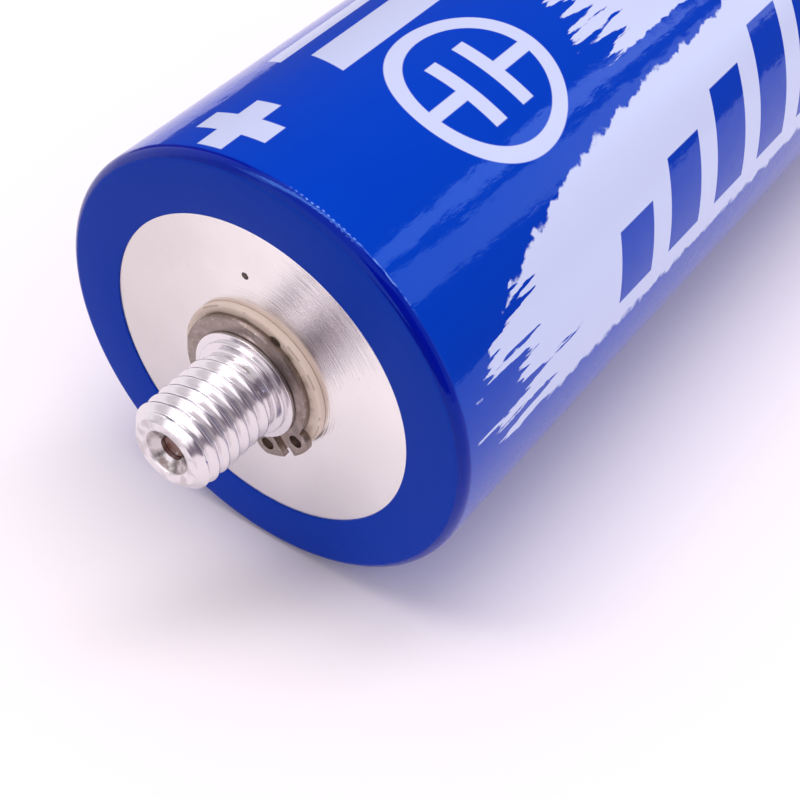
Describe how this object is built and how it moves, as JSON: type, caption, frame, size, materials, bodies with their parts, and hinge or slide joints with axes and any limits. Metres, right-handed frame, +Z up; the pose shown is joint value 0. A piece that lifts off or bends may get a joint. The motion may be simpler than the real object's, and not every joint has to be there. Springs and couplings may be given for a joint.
{
  "type": "supercapacitor",
  "caption": "Cylindrical supercapacitor cell in a folded blue shrink sleeve, with a threaded stud on each end and a clipped, insulated positive terminal.",
  "frame": {"origin": "middle of the overall length, on the surface that the sleeve touches as the cell lies on its side", "axes": "X along the cell's axis, with the positive terminal pointing to -X and the negative stud to +X; +Z up"},
  "size_m": [0.1704, 0.0606, 0.0607],
  "materials": {
    "sleeve": "glossy printed shrink film",
    "can": "satin extruded",
    "cover": "fine satin",
    "terminal": "bright turned",
    "ring": "phosphated spring steel",
    "bushing": "moulded ivory",
    "seal": "moulded",
    "plug": "moulded",
    "insulator": "natural moulded",
    "collector": "rolled",
    "core": "wound carbon-coated foil and separator",
    "wrap": "polyimide film"
  },
  "bodies": {
    "root": {"sleeve": "sleeve", "can": "can", "cover": "cover", "positive_terminal": "terminal", "retaining_ring": "ring", "outer_bushing": "bushing", "inner_bushing": "insulator", "terminal_seal": "seal", "fill_plug": "plug", "positive_insulator": "insulator", "positive_collector": "collector", "wound_core": "core", "core_wrap": "wrap", "negative_collector": "collector"}
  },
  "joints": []
}
